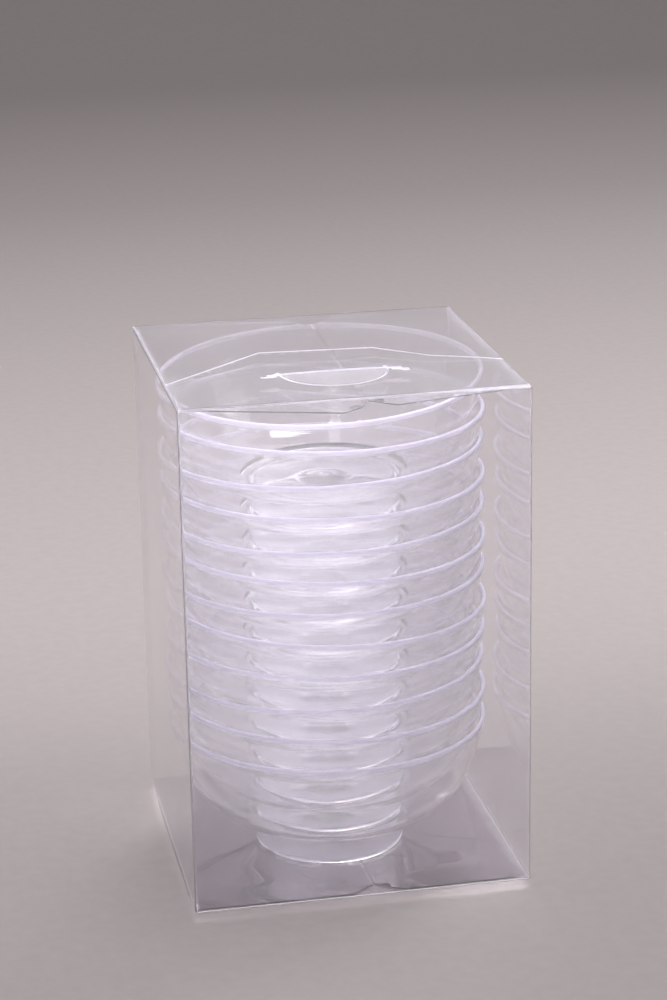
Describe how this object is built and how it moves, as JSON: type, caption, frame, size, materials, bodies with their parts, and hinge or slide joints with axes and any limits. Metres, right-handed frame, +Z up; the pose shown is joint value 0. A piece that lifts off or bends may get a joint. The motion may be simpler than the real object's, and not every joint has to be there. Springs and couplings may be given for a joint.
{
  "type": "boxed stack of nested clear bowls",
  "caption": "Tall clear folding carton with thumb-tab end closures, holding a nested stack of small clear footed plastic bowls.",
  "frame": {"origin": "centre of the carton's base, on the surface that it stands on", "axes": "+Z up the carton's height, +Y towards its back wall, +X to its right; the front closing flaps crease along the front wall"},
  "size_m": [0.1, 0.1, 0.1535],
  "materials": {
    "carton_film": "clear glossy polyester sheet, creased, with cut edges that look pale lavender",
    "bowl_plastic": "clear injection-moulded polystyrene, glossy, rims bright and slightly lavender"
  },
  "bodies": {
    "carton": {"front_wall": "carton_film", "back_wall": "carton_film", "left_wall": "carton_film", "right_wall": "carton_film", "glue_flap": "carton_film", "bottom_left_dust_flap": "carton_film", "bottom_right_dust_flap": "carton_film"},
    "top_front_flap": {"top_front_flap": "carton_film"},
    "top_back_flap": {"top_back_flap": "carton_film"},
    "top_thumb_tab": {"top_thumb_tab": "carton_film"},
    "bottom_front_flap": {"bottom_front_flap": "carton_film"},
    "bottom_back_flap": {"bottom_back_flap": "carton_film"},
    "bottom_thumb_tab": {"bottom_thumb_tab": "carton_film"},
    "top_left_dust_flap": {"top_left_dust_flap": "carton_film"},
    "top_right_dust_flap": {"top_right_dust_flap": "carton_film"},
    "bowl_01": {"bowl_01": "bowl_plastic"},
    "bowl_02": {"bowl_02": "bowl_plastic"},
    "bowl_03": {"bowl_03": "bowl_plastic"},
    "bowl_04": {"bowl_04": "bowl_plastic"},
    "bowl_05": {"bowl_05": "bowl_plastic"},
    "bowl_06": {"bowl_06": "bowl_plastic"},
    "bowl_07": {"bowl_07": "bowl_plastic"},
    "bowl_08": {"bowl_08": "bowl_plastic"},
    "bowl_09": {"bowl_09": "bowl_plastic"},
    "bowl_10": {"bowl_10": "bowl_plastic"},
    "bowl_11": {"bowl_11": "bowl_plastic"},
    "bowl_12": {"bowl_12": "bowl_plastic"}
  },
  "joints": [
    {"name": "top_front_flap_crease", "type": "hinge", "parent": "carton", "child": "top_front_flap", "pos_m": [0, -0.04965, 0.1535], "axis": [1, 0, 0], "range_deg": [0, 180]},
    {"name": "top_back_flap_crease", "type": "hinge", "parent": "carton", "child": "top_back_flap", "pos_m": [0, 0.04965, 0.1535], "axis": [-1, 0, 0], "range_deg": [0, 180]},
    {"name": "top_thumb_tab_crease", "type": "hinge", "parent": "top_front_flap", "child": "top_thumb_tab", "pos_m": [-0.00075, -0.0195, 0.1535], "axis": [-1, 0, 0], "range_deg": [0, 80]},
    {"name": "bottom_front_flap_crease", "type": "hinge", "parent": "carton", "child": "bottom_front_flap", "pos_m": [0, -0.04965, 0.0025], "axis": [-1, 0, 0], "range_deg": [0, 170]},
    {"name": "bottom_back_flap_crease", "type": "hinge", "parent": "carton", "child": "bottom_back_flap", "pos_m": [0, 0.04965, 0.0025], "axis": [1, 0, 0], "range_deg": [0, 170]},
    {"name": "bottom_thumb_tab_crease", "type": "hinge", "parent": "bottom_front_flap", "child": "bottom_thumb_tab", "pos_m": [-0.00075, -0.0195, 0], "axis": [1, 0, 0], "range_deg": [0, 80]},
    {"name": "top_left_dust_flap_crease", "type": "hinge", "parent": "carton", "child": "top_left_dust_flap", "pos_m": [-0.0493, 0, 0.15305], "axis": [0, -1, 0], "range_deg": [0, 1]},
    {"name": "top_right_dust_flap_crease", "type": "hinge", "parent": "carton", "child": "top_right_dust_flap", "pos_m": [0.0493, 0, 0.15305], "axis": [0, 1, 0], "range_deg": [0, 1]},
    {"name": "bowl_01_lift", "type": "slide", "parent": "carton", "child": "bowl_01", "axis": [0, 0, 1], "range_m": [0, 0.0001]},
    {"name": "bowl_02_lift", "type": "slide", "parent": "bowl_01", "child": "bowl_02", "axis": [0, 0, 1], "range_m": [0, 0.0001]},
    {"name": "bowl_03_lift", "type": "slide", "parent": "bowl_02", "child": "bowl_03", "axis": [0, 0, 1], "range_m": [0, 0.0001]},
    {"name": "bowl_04_lift", "type": "slide", "parent": "bowl_03", "child": "bowl_04", "axis": [0, 0, 1], "range_m": [0, 0.0001]},
    {"name": "bowl_05_lift", "type": "slide", "parent": "bowl_04", "child": "bowl_05", "axis": [0, 0, 1], "range_m": [0, 0.0001]},
    {"name": "bowl_06_lift", "type": "slide", "parent": "bowl_05", "child": "bowl_06", "axis": [0, 0, 1], "range_m": [0, 0.0001]},
    {"name": "bowl_07_lift", "type": "slide", "parent": "bowl_06", "child": "bowl_07", "axis": [0, 0, 1], "range_m": [0, 0.0001]},
    {"name": "bowl_08_lift", "type": "slide", "parent": "bowl_07", "child": "bowl_08", "axis": [0, 0, 1], "range_m": [0, 0.0001]},
    {"name": "bowl_09_lift", "type": "slide", "parent": "bowl_08", "child": "bowl_09", "axis": [0, 0, 1], "range_m": [0, 0.0001]},
    {"name": "bowl_10_lift", "type": "slide", "parent": "bowl_09", "child": "bowl_10", "axis": [0, 0, 1], "range_m": [0, 0.0001]},
    {"name": "bowl_11_lift", "type": "slide", "parent": "bowl_10", "child": "bowl_11", "axis": [0, 0, 1], "range_m": [0, 0.0001]},
    {"name": "bowl_12_lift", "type": "slide", "parent": "bowl_11", "child": "bowl_12", "axis": [0, 0, 1], "range_m": [0, 0.0001]}
  ]
}
